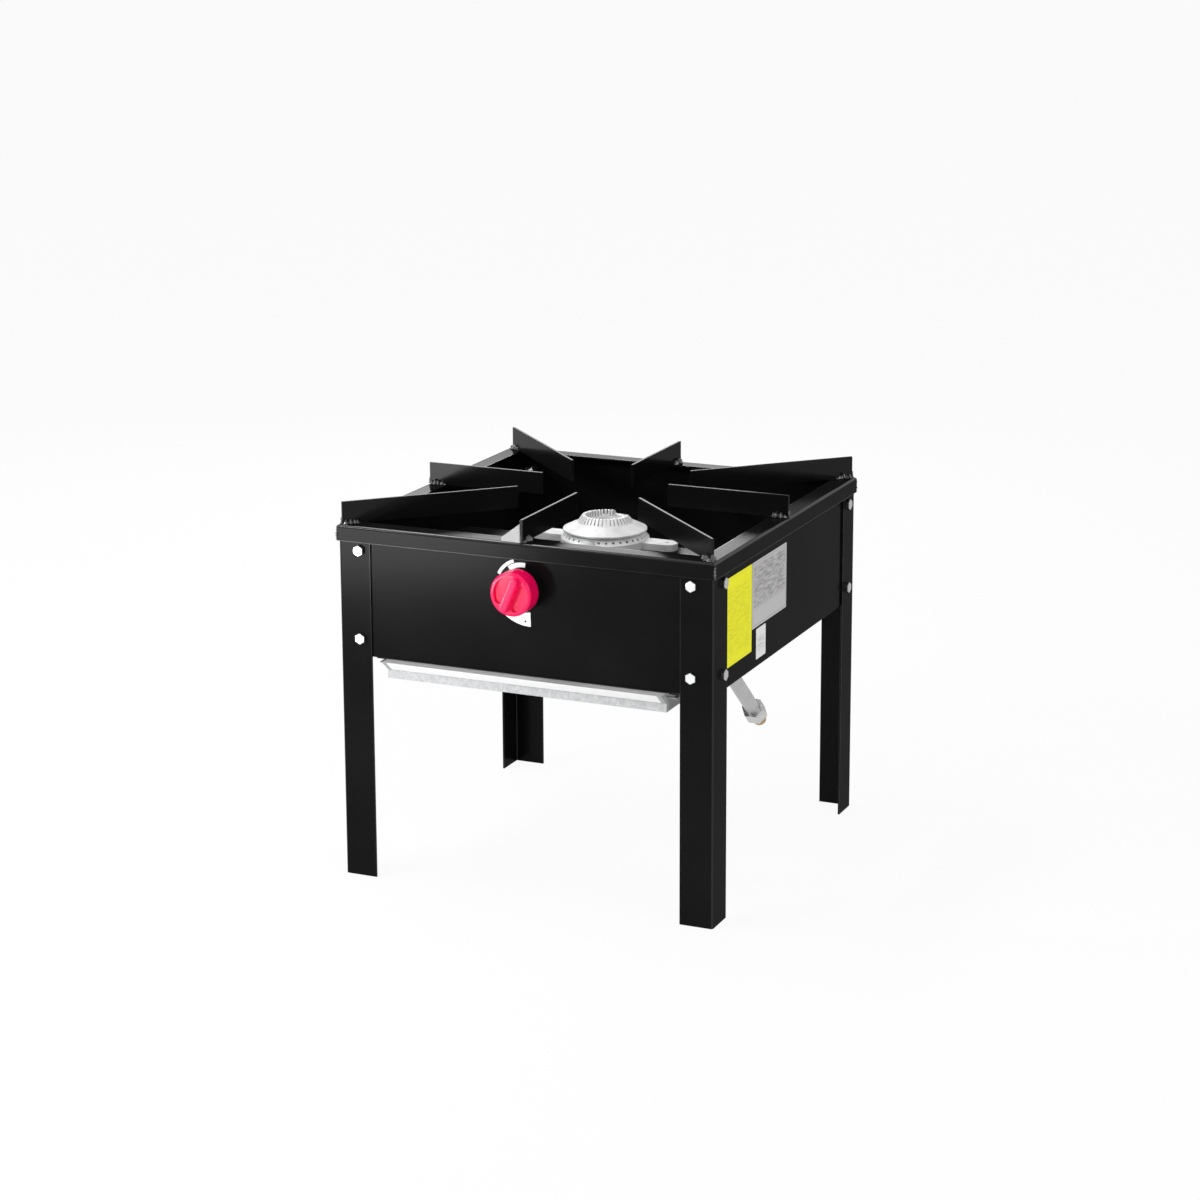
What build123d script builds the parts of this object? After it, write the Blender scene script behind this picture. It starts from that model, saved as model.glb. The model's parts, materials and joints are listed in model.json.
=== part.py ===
from build123d import *
import os
from math import cos, radians, sin

# A square stove on four folded angle legs. The origin is on the floor under the middle,
# +Z is up, the knob faces -Y and the gas inlet comes out low on the +X side.
os.makedirs("parts", exist_ok=True)

# Frame: legs, rim and side panels
frame_width = 440.0
frame_height = 400.0
leg_flange = 38.0
leg_sheet = 2.0
leg_bend = 3.0
rim_sheet = 2.0
rim_flange = 22.0
rim_skirt = 18.0
rim_bend = 3.5
rim_clearance = 2.0
panel_sheet = 1.2
panel_drop = 146.5
panel_top_flange = 12.0
panel_bottom_flange = 8.0
panel_bend = 1.8
panel_end_gap = 0.3
flange_end_gap = 3.0

# Screws and nuts that hold the panels to the legs
screw_radius = 3.0
screw_length = 14.0
screw_inset = 25.0
screw_top_drop = 27.0
screw_bottom_rise = 20.5
head_flats = 11.1
head_height = 4.5
head_edge = 0.7
nut_flats = 10.0
nut_height = 5.0
hole_clearance = 0.3
thread_clearance = 0.05

# Grate bars on edge, welded to the rim
bar_thickness = 3.2
bar_height = 25.0
bar_edge = 0.5
side_bar_inner = 77.0
side_bar_end_gap = 2.0
corner_bar_inner = 104.0
corner_bar_end_gap = 7.0
weld_leg = 4.0
weld_roundness = 0.62
weld_length = 17.0
weld_end_gap = 3.0
gusset_width = 22.0
gusset_drop = 4.5
gusset_toe = 4.0

# Drip tray and its two runners
tray_leg_gap = 17.0
tray_sheet = 1.0
tray_front_height = 21.5
tray_front_inset = 3.0
tray_back_inset = 18.0
tray_top_gap = 0.5
lip_reach = 15.0
lip_drop = 11.5
lip_slit = 1.0
tray_wing = 10.8
runner_sheet = 1.2
runner_height = 8.0
runner_depth = 10.0
runner_side_gap = 1.0
runner_lift = 0.3
runner_end_inset = 2.0
runner_tab = 31.0
stop_gap = 0.5

# Burner: bowl, loose cap and the two brackets that carry it
gas_axis_drop = 50.0
bowl_radius = 50.0
bowl_rise = 14.0
bowl_wall = 9.0
bowl_floor = 6.0
bowl_depth = 38.0
bowl_bevel = 6.0
bowl_corner = 10.0
port_count = 36
port_radius = 1.4
port_length = 9.0
socket_length = 20.0
socket_wall = 2.9
lug_overhang = 26.0
lug_width = 24.0
lug_thickness = 8.0
lug_screw_radius = 2.5
lug_screw_flats = 8.0
lug_screw_head = 3.5
lug_screw_recess = 2.0
cap_margin = 2.5
cap_edge = 2.0
cap_lift = 2.0
cap_seat_inset = 0.5
cap_web_rise = 1.0
spigot_gap = 0.4
spigot_wall = 3.0
spigot_depth = 4.0
crown_radius = 26.0
crown_wall = 4.0
crown_height = 19.0
crown_foot_drop = 7.5
crown_foot_flare = 5.5
crown_floor = 3.0
slot_count = 40
slot_width = 1.4
slot_depth = 6.5
notch_depth = 4.7
notch_start = 22.0
notch_sweep = 66.0
bracket_width = 25.0
bracket_sheet = 3.0
bracket_drop = 28.0
bracket_bend = 4.0
bracket_gap = 8.0

# Mixer tube, air shutter and injector along the gas axis
mixer_radius = 10.5
mixer_wall = 2.5
mixer_fit = 0.1
mixer_entry = 4.0
mouth_gap = 20.0
mouth_radius = 20.0
mouth_plate = 2.0
bell_length = 16.0
window_count = 4
window_margin = 1.35
shutter_sheet = 1.5
shutter_gap = 0.2
shutter_fit = 0.08
shutter_ear = 9.0
injector_hub = 6.0
injector_shoulder = 8.0
injector_flats = 14.0
injector_hex = 8.0
injector_core_inset = 0.5
nose_reach = 2.0
injector_thread = 5.0
injector_jet = 0.8
jet_bore = 2.5
thread_depth = 8.0

# Valve behind the front panel
valve_length = 42.0
valve_radius = 12.0
inlet_setback = 18.0
inlet_boss_radius = 10.5
inlet_reach = 30.0
plug_radius = 6.45
plug_clearance = 0.05
plug_front_gap = 1.0
plug_length = 26.5
plug_end_gap = 0.3
plug_port = 2.5
bonnet_width = 40.0
bonnet_plate_height = 20.0
bonnet_plate = 3.0
bonnet_corner = 4.0
bonnet_length = 16.8
bonnet_radius = 10.0
bonnet_bore = 7.0
bonnet_wall = 4.8
stem_radius = 4.0
stem_fit = 0.08
stem_hole_gap = 1.5
stem_grip = 9.0
collar_clearance = 0.8
collar_gap = 0.3
stem_collar_thickness = 1.5
stem_neck = 3.2
push_travel = 3.0
tongue_thickness = 2.0
tongue_width = 6.0
tongue_clearance = 0.1
tongue_gap = 0.5
tongue_engagement = 3.5
slot_gap = 1.0
spring_wire = 0.4
spring_turns = 6.0
spring_end_gap = 0.1
valve_screw_edge = 6.0
valve_screw_radius = 2.0
valve_screw_head = 3.8
valve_screw_head_height = 2.6
valve_screw_dome = 1.2
valve_screw_length = 8.0

# Knob
knob_radius = 24.0
knob_back_gap = 10.5
knob_depth = 20.0
knob_edge = 3.0
knob_wall = 3.0
knob_hollow = 9.0
knob_hub = 7.5
grip_width = 9.6
grip_lean = 23.0
grip_rise = 6.5
grip_inset = 3.5
grip_edge = 2.0
scoop_depth = 3.0
scoop_rim = 1.6
scoop_corner = 5.0
knob_fit = 0.05
knob_bore_gap = 0.5

# Marks on the front panel round the knob: two arcs and a wedge with a dot
mark_sheet = 0.15
mark_sweep = 45.0
outer_mark_radius = 32.6
outer_mark_width = 3.6
outer_mark_start = 109.0
inner_mark_radius = 28.2
inner_mark_width = 5.2
inner_mark_start = 82.0
wedge_start_radius = 37.5
wedge_start = 238.0
wedge_middle_radius = 39.3
wedge_middle = 260.0
wedge_end_radius = 42.3
wedge_end = 283.0
wedge_inner_radius = 27.0
wedge_inner = 290.0
mark_dot_reach = 36.1
mark_dot_angle = 275.1
mark_dot_radius = 1.2

# Gas supply tube, its nuts and the inlet fitting
tube_radius = 8.0
tube_wall = 1.2
tube_panel_gap = 8.8
tube_drop = 45.6
tube_run = 138.3
tube_fall = 117.9
tube_bend = (24.0, 30.0)
tube_nut_flats = 24.0
tube_nut_length = 16.0
tube_nut_grip = 10.0
tube_nut_fit = 0.1
inlet_nut_flats = 22.0
inlet_nut_length = 17.0
inlet_nut_overlap = 3.0
fitting_collar = 7.9
fitting_radius = 7.5
fitting_bore = 4.5
fitting_length = 18.0
fitting_nose = 2.0

# Blank stickers on the right panel: distance from its front edge, width, height above its
# bottom edge, height
sticker_corner = 1.5
sticker_sheet = 0.2
sticker_areas = {
    "sticker_yellow": (36.5, 75.0, 22.0, 97.0),
    "sticker_grey": (112.5, 104.5, 45.5, 73.5),
    "sticker_white": (125.5, 28.5, 9.0, 34.0),
}

# Worked-out places
half = frame_width / 2
rim_outer = half + rim_sheet
rim_under = frame_height - rim_sheet
skirt_bottom = frame_height - rim_skirt
leg_top = rim_under - rim_clearance
panel_bottom = frame_height - panel_drop
panel_face = half - leg_sheet
panel_inner = panel_face - panel_sheet
panel_half = panel_inner - panel_end_gap
panel_height = rim_under - panel_bottom
flange_half = panel_face - panel_top_flange - flange_end_gap
screw_pitch = half - screw_inset
screw_heights = (panel_bottom + screw_bottom_rise, frame_height - screw_top_drop)
screw_spots = [(x, z) for x in (-screw_pitch, screw_pitch) for z in screw_heights]
side_bar_outer = rim_outer - side_bar_end_gap
corner_bar_outer = rim_outer * 2**0.5 - corner_bar_end_gap
gusset_height = bar_height - gusset_drop
runner_bottom = panel_bottom - runner_height
wing_bottom = runner_bottom + runner_sheet + runner_lift
tray_half_width = half - leg_flange - tray_leg_gap
tray_front_y = -panel_face + tray_front_inset
tray_back_y = panel_face - tray_back_inset
tray_top = panel_bottom - tray_top_gap
tray_bottom = tray_top - tray_front_height
runner_outer = tray_half_width + tray_wing + runner_side_gap + runner_sheet
runner_back_y = panel_face - runner_end_inset
runner_front_y = -runner_back_y + runner_tab
gas_axis_height = frame_height - gas_axis_drop
gas_axis = Axis((0, 0, gas_axis_height), (0, 1, 0))
bowl_top = gas_axis_height + bowl_rise
bowl_bore = bowl_radius - bowl_wall
bracket_top = bowl_top - bowl_bevel - lug_thickness
lug_reach = bowl_radius + lug_overhang
cap_radius = bowl_radius - cap_margin
cap_bottom = bowl_top + cap_lift
crown_top = bowl_top + crown_height
valve_front_y = -panel_inner + bonnet_length
valve_rear_y = valve_front_y + valve_length
inlet_y = valve_front_y + inlet_setback
plug_front_y = valve_front_y + plug_front_gap
plug_rear_y = plug_front_y + plug_length
mixer_inner_y = -bowl_radius + mixer_entry
mouth_y = valve_rear_y + mouth_gap
mouth_inner = mouth_radius - mixer_wall
window_circle = (mouth_inner + injector_hub) / 2
window_radius = (mouth_inner - injector_hub) / 2 - window_margin
knob_back_y = -panel_face - knob_back_gap
knob_front_y = knob_back_y - knob_depth
bonnet_wall_y = -panel_inner + bonnet_wall
valve_screw_spread = bonnet_width / 2 - valve_screw_edge
stem_front_y = knob_back_y - stem_grip
stem_collar = bonnet_bore - collar_clearance
stem_collar_y = bonnet_wall_y + collar_gap
stem_neck_y = stem_collar_y + stem_collar_thickness
spring_radius = (stem_neck + bonnet_bore) / 2
tongue_front_y = plug_front_y - push_travel - tongue_gap
tongue_rear_y = plug_front_y + tongue_engagement
plug_slot_rear_y = tongue_rear_y + push_travel + slot_gap
tube_x = panel_inner - tube_panel_gap - tube_radius
tube_bend_z = gas_axis_height - tube_drop
tube_end_y = inlet_y + tube_run
tube_end_z = tube_bend_z - tube_fall
tube_way = (0, tube_run, -tube_fall)
outlet_plane = Plane(origin=(tube_x, tube_end_y, tube_end_z), x_dir=(1, 0, 0), z_dir=tube_way)

side_names = ("front", "right", "back", "left")
corner_names = ("front_left", "front_right", "back_right", "back_left")


def face_plane(side, out):
    """Upright plane facing outward on a side: x runs along the side and y is up."""
    turn = radians(90 * side)
    outward = Vector(sin(turn), -cos(turn), 0)
    return Plane(origin=outward * out, x_dir=(cos(turn), sin(turn), 0), z_dir=outward)


def section_plane(side):
    """Cross-section of a side: x points inward and y is up."""
    turn = radians(90 * side)
    return Plane(origin=(0, 0, 0), x_dir=(-sin(turn), cos(turn), 0), z_dir=(cos(turn), sin(turn), 0))


def corner_plane(corner, reach):
    """Floor plane at a corner of a square, with x and y running along its two sides."""
    turn = radians(90 * corner)
    x, y = corner_point(corner, reach)
    return Plane(origin=(x, y, 0), x_dir=(cos(turn), sin(turn), 0), z_dir=(0, 0, 1))


def corner_point(corner, reach):
    turn = radians(90 * corner - 135)
    return (reach * 2**0.5 * cos(turn), reach * 2**0.5 * sin(turn))


def spoke_plane(angle, height):
    """Level plane whose x points out from the middle at an angle."""
    turn = radians(angle)
    return Plane(origin=(0, 0, height), x_dir=(cos(turn), sin(turn), 0), z_dir=(0, 0, 1))


def end_plane(angle, reach, height):
    """Upright plane across a spoke, facing the middle."""
    turn = radians(angle)
    origin = (reach * cos(turn), reach * sin(turn), height)
    return Plane(origin=origin, x_dir=(sin(turn), -cos(turn), 0), z_dir=(-cos(turn), -sin(turn), 0))


def gas_plane(y):
    """Upright plane across the gas axis, facing the front."""
    return Plane(origin=(0, y, gas_axis_height), x_dir=(1, 0, 0), z_dir=(0, -1, 0))


def inlet_plane(x):
    """Upright plane across the valve's inlet, facing right."""
    return Plane(origin=(x, inlet_y, gas_axis_height), x_dir=(0, 1, 0), z_dir=(1, 0, 0))


def turned(*points):
    """Solid turned about the gas axis from pairs of y and radius."""
    with BuildPart() as piece:
        with BuildSketch(Plane.YZ):
            with BuildLine():
                Polyline(*[(y, gas_axis_height + radius) for y, radius in points], close=True)
            make_face()
        revolve(axis=gas_axis)
    return piece.part


def ring_point(radius, angle):
    return (radius * cos(radians(angle)), radius * sin(radians(angle)))


def hexagon_radius(flats):
    return flats / 2 / cos(radians(30))


def finish(piece, name):
    piece.part.label = name
    export_step(piece.part, f"parts/{name}.step")


# Legs: folded angle, open to the inside of the stove
def make_leg(corner):
    with BuildPart() as leg:
        with BuildSketch(corner_plane(corner, half)) as profile:
            with BuildLine():
                Polyline(
                    (0, 0),
                    (leg_flange, 0),
                    (leg_flange, leg_sheet),
                    (leg_sheet, leg_sheet),
                    (leg_sheet, leg_flange),
                    (0, leg_flange),
                    close=True,
                )
            make_face()
            fillet(profile.vertices().sort_by_distance((0, 0))[0], leg_bend)
            fillet(profile.vertices().sort_by_distance((leg_sheet, leg_sheet))[0], leg_bend - leg_sheet)
        extrude(amount=leg_top)
        for side, x in ((corner, -screw_pitch), ((corner + 3) % 4, screw_pitch)):
            with BuildSketch(face_plane(side, half)):
                with Locations(*[(x, z) for z in screw_heights]):
                    Circle(screw_radius + hole_clearance)
            extrude(amount=-leg_sheet * 2, mode=Mode.SUBTRACT)
    return leg


for corner, corner_name in enumerate(corner_names):
    finish(make_leg(corner), f"leg_{corner_name}")


# Rim: a folded angle on each side, mitred and welded at the corners
def make_rim_rail(side):
    with BuildPart() as rail:
        with BuildSketch(section_plane(side)) as profile:
            with BuildLine():
                Polyline(
                    (-rim_outer, skirt_bottom),
                    (-rim_outer, frame_height),
                    (-rim_outer + rim_flange, frame_height),
                    (-rim_outer + rim_flange, rim_under),
                    (-half, rim_under),
                    (-half, skirt_bottom),
                    close=True,
                )
            make_face()
            fillet(profile.vertices().sort_by_distance((-rim_outer, frame_height))[0], rim_bend)
            fillet(profile.vertices().sort_by_distance((-half, rim_under))[0], rim_bend - rim_sheet)
        extrude(amount=rim_outer, both=True)
        with BuildSketch(Plane.XY.offset(skirt_bottom)):
            with BuildLine():
                Polyline((0, 0), corner_point(side, half * 2), corner_point(side + 1, half * 2), close=True)
            make_face()
        extrude(amount=rim_skirt, mode=Mode.INTERSECT)
    return rail


for side, side_name in enumerate(side_names):
    finish(make_rim_rail(side), f"rim_{side_name}")


# Side panels: a folded sheet behind the legs, up to the underside of the rim
def make_panel(side):
    with BuildPart() as panel:
        with BuildSketch(section_plane(side)) as profile:
            with BuildLine():
                Polyline(
                    (-panel_face, panel_bottom),
                    (-panel_face + panel_bottom_flange, panel_bottom),
                    (-panel_face + panel_bottom_flange, panel_bottom + panel_sheet),
                    (-panel_inner, panel_bottom + panel_sheet),
                    (-panel_inner, rim_under - panel_sheet),
                    (-panel_face + panel_top_flange, rim_under - panel_sheet),
                    (-panel_face + panel_top_flange, rim_under),
                    (-panel_face, rim_under),
                    close=True,
                )
            make_face()
            for corner_z, inner_z in (
                (panel_bottom, panel_bottom + panel_sheet),
                (rim_under, rim_under - panel_sheet),
            ):
                fillet(profile.vertices().sort_by_distance((-panel_face, corner_z))[0], panel_bend)
                inner_bend = panel_bend - panel_sheet
                fillet(profile.vertices().sort_by_distance((-panel_inner, inner_z))[0], inner_bend)
        extrude(amount=flange_half, both=True)
        with BuildSketch(face_plane(side, panel_face)):
            with Locations((0, panel_bottom + panel_height / 2)):
                Rectangle(panel_half * 2, panel_height - panel_bend * 2)
        extrude(amount=-panel_sheet)
        with BuildSketch(face_plane(side, panel_face)):
            with Locations(*screw_spots):
                Circle(screw_radius + hole_clearance)
        extrude(amount=-panel_sheet, mode=Mode.SUBTRACT)
    return panel


for side, side_name in enumerate(side_names):
    if side_name != "front":
        finish(make_panel(side), f"{side_name}_panel")

with BuildPart() as front_panel:
    add(make_panel(0).part)
    with BuildSketch(face_plane(0, panel_face)):
        with Locations((0, gas_axis_height)):
            Circle(stem_radius + stem_hole_gap)
        with Locations((-valve_screw_spread, gas_axis_height), (valve_screw_spread, gas_axis_height)):
            Circle(valve_screw_radius + hole_clearance)
    extrude(amount=-panel_sheet, mode=Mode.SUBTRACT)
finish(front_panel, "front_panel")

# Hexagon screws from outside through leg and panel, with nuts inside
with BuildPart() as frame_screws:
    for side in range(4):
        outside = face_plane(side, half)
        with BuildSketch(outside):
            with Locations(*screw_spots):
                RegularPolygon(hexagon_radius(head_flats), 6, rotation=30)
        extrude(amount=head_height)
        tips = frame_screws.faces().sort_by(Axis((0, 0, 0), outside.z_dir))[-len(screw_spots) :]
        chamfer([edge for tip in tips for edge in tip.edges()], head_edge)
        with BuildSketch(outside):
            with Locations(*screw_spots):
                Circle(screw_radius)
        extrude(amount=-screw_length)
finish(frame_screws, "frame_screws")

with BuildPart() as frame_nuts:
    for side in range(4):
        with BuildSketch(face_plane(side, panel_inner)):
            with Locations(*screw_spots):
                RegularPolygon(hexagon_radius(nut_flats), 6)
                Circle(screw_radius + thread_clearance, mode=Mode.SUBTRACT)
        extrude(amount=-nut_height)
finish(frame_nuts, "frame_nuts")


# Grate: eight flat bars on edge
def make_bar(angle, inner, outer):
    with BuildPart() as bar:
        with BuildSketch(spoke_plane(angle, frame_height)):
            with Locations(((inner + outer) / 2, 0)):
                Rectangle(outer - inner, bar_thickness)
        extrude(amount=bar_height)
        fillet(bar.faces().sort_by(Axis.Z)[-1].edges(), bar_edge)
    return bar


for side, side_name in enumerate(side_names):
    finish(make_bar(90 * side - 90, side_bar_inner, side_bar_outer), f"grate_bar_{side_name}")
for corner, corner_name in enumerate(corner_names):
    finish(make_bar(90 * corner - 135, corner_bar_inner, corner_bar_outer), f"grate_bar_{corner_name}")

# Weld beads on both sides of each bar's foot
with BuildPart() as grate_welds:
    for corner in range(4):
        for angle, outer in ((90 * corner - 135, corner_bar_outer), (90 * corner - 90, side_bar_outer)):
            with BuildSketch(end_plane(angle, outer - weld_end_gap, frame_height)):
                for hand in (-1, 1):
                    root = hand * bar_thickness / 2
                    bulge = weld_leg * weld_roundness
                    with BuildLine():
                        Line((root, 0), (root + hand * weld_leg, 0))
                        ThreePointArc(
                            (root + hand * weld_leg, 0), (root + hand * bulge, bulge), (root, weld_leg)
                        )
                        Line((root, weld_leg), (root, 0))
                    make_face()
            extrude(amount=weld_length)
finish(grate_welds, "grate_welds")

# Small plate that braces the front bar on its left
with BuildPart() as front_bar_gusset:
    with BuildSketch(face_plane(0, side_bar_outer)):
        with BuildLine():
            Polyline(
                (-bar_thickness / 2, frame_height),
                (-bar_thickness / 2, frame_height + gusset_height),
                (-bar_thickness / 2 - gusset_width, frame_height + gusset_toe),
                (-bar_thickness / 2 - gusset_width, frame_height),
                close=True,
            )
        make_face()
    extrude(amount=-weld_end_gap)
finish(front_bar_gusset, "front_bar_gusset")

# Drip tray: shallow folded tray with side wings and a hollow pull lip
tray_length = tray_back_y - tray_front_y
tray_middle_y = (tray_back_y + tray_front_y) / 2
tray_wall = wing_bottom + tray_sheet - tray_bottom
lip_tip = (tray_front_y - lip_reach, tray_top)
lip_end = (tray_front_y - lip_slit, tray_top - lip_drop)
with BuildPart() as drip_tray:
    with BuildSketch(Plane.XY.offset(tray_bottom)):
        with Locations((0, tray_middle_y)):
            Rectangle(tray_half_width * 2, tray_length)
    extrude(amount=tray_wall)
    with BuildSketch(Plane.XY.offset(tray_bottom + tray_sheet)):
        with Locations((0, tray_middle_y)):
            Rectangle(tray_half_width * 2 - tray_sheet * 2, tray_length - tray_sheet * 2)
    extrude(amount=tray_wall, mode=Mode.SUBTRACT)
    with BuildSketch(Plane.XY.offset(wing_bottom)):
        with Locations((0, tray_middle_y)):
            Rectangle(tray_half_width * 2 + tray_wing * 2, tray_length - tray_sheet * 2)
            Rectangle(tray_half_width * 2 - tray_sheet, tray_length, mode=Mode.SUBTRACT)
    extrude(amount=tray_sheet)
    with BuildSketch(face_plane(0, -tray_front_y)):
        with Locations((0, (tray_bottom + tray_top) / 2)):
            Rectangle(tray_half_width * 2, tray_front_height)
    extrude(amount=-tray_sheet)
    with BuildSketch(section_plane(0)):
        with BuildLine():
            Polyline((tray_front_y, tray_top), lip_tip, lip_end)
            offset(amount=tray_sheet, side=Side.LEFT)
        make_face()
    extrude(amount=tray_half_width, both=True)
    with BuildSketch(
        section_plane(0).offset(-tray_half_width), section_plane(0).offset(tray_half_width - tray_sheet)
    ):
        with BuildLine():
            Polyline((tray_front_y, tray_top), lip_tip, lip_end, (tray_front_y, lip_end[1]), close=True)
        make_face()
    extrude(amount=tray_sheet)
finish(drip_tray, "drip_tray")

# Runners: C-sections under the panels, with a tab at the front and a stop behind the tray
with BuildPart() as runner_right:
    with BuildSketch(Plane.XZ.offset(-runner_front_y)):
        with BuildLine():
            Polyline(
                (runner_outer - runner_depth, panel_bottom),
                (runner_outer, panel_bottom),
                (runner_outer, runner_bottom),
                (runner_outer - runner_depth, runner_bottom),
            )
            offset(amount=runner_sheet, side=Side.RIGHT)
        make_face()
    extrude(amount=runner_front_y - runner_back_y)
    with BuildSketch(Plane.XZ.offset(-tray_back_y - stop_gap)):
        with Locations((runner_outer - runner_depth / 2, panel_bottom - runner_height / 2)):
            Rectangle(runner_depth, runner_height)
    extrude(amount=-runner_sheet)
    with BuildSketch(Plane.XY.offset(panel_bottom)):
        with Locations((runner_outer - runner_depth / 2, runner_front_y - runner_tab / 2)):
            Rectangle(runner_depth, runner_tab)
    extrude(amount=-runner_sheet)
finish(runner_right, "runner_right")

with BuildPart() as runner_left:
    mirror(runner_right.part, about=Plane.YZ)
finish(runner_left, "runner_left")

# Burner bowl: lugs at the sides, a socket for the mixer tube and a ring of ports
bowl_base = bowl_top - bowl_depth
port_angles = [360 / port_count * (number + 0.5) for number in range(port_count)]
port_middle = bowl_radius - bowl_bevel / 2
port_height = bowl_top - bowl_bevel / 2
port_planes = [
    Plane(
        origin=(port_middle * cos(radians(angle)), port_middle * sin(radians(angle)), port_height),
        z_dir=(cos(radians(angle)), sin(radians(angle)), 1),
    )
    for angle in port_angles
]
with BuildPart() as burner_bowl:
    with BuildSketch(Plane.XY.offset(bowl_base)):
        Circle(bowl_radius)
    extrude(amount=bowl_depth)
    rims = burner_bowl.edges().filter_by(GeomType.CIRCLE).sort_by(Axis.Z)
    chamfer(rims[-1], bowl_bevel)
    fillet(rims[0], bowl_corner)
    with BuildSketch(Plane.XY.offset(bracket_top)):
        SlotCenterToCenter(lug_reach * 2, lug_width)
    extrude(amount=lug_thickness)
    with BuildSketch(gas_plane(-bowl_radius - socket_length)):
        Circle(mixer_radius + mixer_fit + socket_wall)
    extrude(amount=-socket_length - bowl_wall)
    with BuildSketch(Plane.XY.offset(bowl_base + bowl_floor)):
        Circle(bowl_bore)
    extrude(amount=bowl_depth, mode=Mode.SUBTRACT)
    with BuildSketch(gas_plane(-bowl_radius - socket_length)):
        Circle(mixer_radius + mixer_fit)
    extrude(amount=-socket_length - bowl_wall * 2, mode=Mode.SUBTRACT)
    with BuildSketch(Plane.XY.offset(bracket_top)):
        with Locations((-lug_reach, 0), (lug_reach, 0)):
            Circle(lug_screw_radius + thread_clearance)
    extrude(amount=lug_thickness, mode=Mode.SUBTRACT)
    with BuildSketch(*port_planes):
        Circle(port_radius)
    extrude(amount=-port_length, mode=Mode.SUBTRACT)
finish(burner_bowl, "burner_bowl")

# Loose cap: a cone with a steep slotted crown and a sunk top, one part of it cut lower
web_bottom = cap_bottom + cap_web_rise
spigot_outer = bowl_bore - spigot_gap
slot_middle = (cap_radius + crown_radius - crown_wall) / 2
notch_end = notch_start + notch_sweep
with BuildPart() as burner_cap:
    with BuildSketch(Plane.XZ):
        with BuildLine():
            Polyline(
                (0, web_bottom),
                (spigot_outer - spigot_wall, web_bottom),
                (spigot_outer - spigot_wall, bowl_top - spigot_depth),
                (spigot_outer, bowl_top - spigot_depth),
                (spigot_outer, bowl_top),
                (bowl_radius - bowl_bevel - cap_seat_inset, bowl_top),
                (bowl_radius - bowl_bevel - cap_seat_inset, cap_bottom),
                (cap_radius, cap_bottom),
                (cap_radius, cap_bottom + cap_edge),
                (crown_radius + crown_foot_flare, crown_top - crown_foot_drop),
                (crown_radius, crown_top),
                (crown_radius - crown_wall, crown_top),
                (crown_radius - crown_wall, web_bottom + crown_floor),
                (0, web_bottom + crown_floor),
                close=True,
            )
        make_face()
    revolve(axis=Axis.Z)
    with BuildSketch(Plane.XY.offset(crown_top)):
        with PolarLocations(slot_middle, slot_count):
            Rectangle(cap_radius - crown_radius + crown_wall * 2, slot_width)
    extrude(amount=-slot_depth, mode=Mode.SUBTRACT)
    with BuildSketch(Plane.XY.offset(crown_top)):
        with BuildLine():
            Polyline(
                (0, 0),
                ring_point(cap_radius, notch_start),
                ring_point(cap_radius, notch_end),
                close=True,
            )
        make_face()
    extrude(amount=-notch_depth, mode=Mode.SUBTRACT)
finish(burner_cap, "burner_cap")

# Brackets from the side panels to the lugs, with screws from below
with BuildPart() as bracket_right:
    with BuildSketch(Plane.XZ) as profile:
        with BuildLine():
            Polyline(
                (bowl_radius + bracket_gap, bracket_top),
                (panel_inner, bracket_top),
                (panel_inner, bracket_top - bracket_drop),
            )
            offset(amount=bracket_sheet, side=Side.RIGHT)
        make_face()
        fillet(profile.vertices().sort_by_distance((panel_inner, bracket_top))[0], bracket_bend)
        inner_corner = (panel_inner - bracket_sheet, bracket_top - bracket_sheet)
        fillet(profile.vertices().sort_by_distance(inner_corner)[0], bracket_bend - bracket_sheet)
    extrude(amount=bracket_width / 2, both=True)
    with BuildSketch(Plane.XY.offset(bracket_top)):
        with Locations((lug_reach, 0)):
            Circle(lug_screw_radius + hole_clearance)
    extrude(amount=-bracket_sheet, mode=Mode.SUBTRACT)
finish(bracket_right, "bracket_right")

with BuildPart() as bracket_left:
    mirror(bracket_right.part, about=Plane.YZ)
finish(bracket_left, "bracket_left")

with BuildPart() as lug_screws:
    with BuildSketch(Plane.XY.offset(bracket_top - bracket_sheet)):
        with Locations((-lug_reach, 0), (lug_reach, 0)):
            RegularPolygon(hexagon_radius(lug_screw_flats), 6)
    extrude(amount=-lug_screw_head)
    with BuildSketch(Plane.XY.offset(bracket_top - bracket_sheet)):
        with Locations((-lug_reach, 0), (lug_reach, 0)):
            Circle(lug_screw_radius)
    extrude(amount=bracket_sheet + lug_thickness - lug_screw_recess)
finish(lug_screws, "lug_screws")

# Mixer tube with a bell and a mouth plate
plate_rear_y = mouth_y + mouth_plate
with BuildPart() as mixer_tube:
    add(
        turned(
            (mixer_inner_y, mixer_radius),
            (mouth_y + bell_length, mixer_radius),
            (plate_rear_y, mouth_radius),
            (mouth_y, mouth_radius),
            (mouth_y, injector_hub + mixer_fit),
            (plate_rear_y, injector_hub + mixer_fit),
            (plate_rear_y, mouth_inner),
            (mouth_y + bell_length, mixer_radius - mixer_wall),
            (mixer_inner_y, mixer_radius - mixer_wall),
        )
    )
    with BuildSketch(gas_plane(mouth_y)):
        with PolarLocations(window_circle, window_count):
            Circle(window_radius)
    extrude(amount=-mouth_plate, mode=Mode.SUBTRACT)
finish(mixer_tube, "mixer_tube")

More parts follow.
